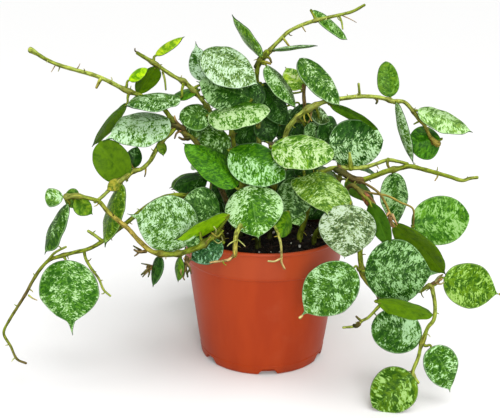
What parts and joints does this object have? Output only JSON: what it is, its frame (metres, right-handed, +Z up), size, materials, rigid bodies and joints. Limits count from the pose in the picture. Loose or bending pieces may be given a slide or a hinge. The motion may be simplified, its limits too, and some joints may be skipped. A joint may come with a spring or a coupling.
{
  "type": "potted hoya curtisii",
  "caption": "Young trailing hoya with small round silver-flecked leaves on thin stems, standing in soil in a tapered plastic nursery pot.",
  "frame": {"origin": "middle of the pot's flat underside, on the surface that the pot stands on", "axes": "+Z up; the leafy front, where most vines spill over the rim, faces -Y; +X to the right seen from the front"},
  "size_m": [0.2277, 0.1639, 0.1766],
  "materials": {
    "pot_plastic": "satin terracotta-coloured polypropylene",
    "soil": "moist crumbly peat mix with white perlite grains",
    "vine": "waxy leathery green leaves flecked with silver, on yellow-green stems"
  },
  "bodies": {
    "root": {"pot": "pot_plastic", "soil": "soil", "vine_left_high": "vine", "vine_left_short": "vine", "vine_left_trailing": "vine", "vine_front_golden": "vine", "vine_front_centre": "vine", "vine_crown_left": "vine", "vine_crown_right": "vine", "vine_top": "vine", "vine_right_arch": "vine", "vine_right_long": "vine", "vine_right_outer": "vine", "vine_right_inner": "vine", "vine_crown_back_left": "vine", "vine_crown_back_right": "vine", "vine_back_left": "vine", "vine_back_centre": "vine", "vine_back_right": "vine"}
  },
  "joints": []
}
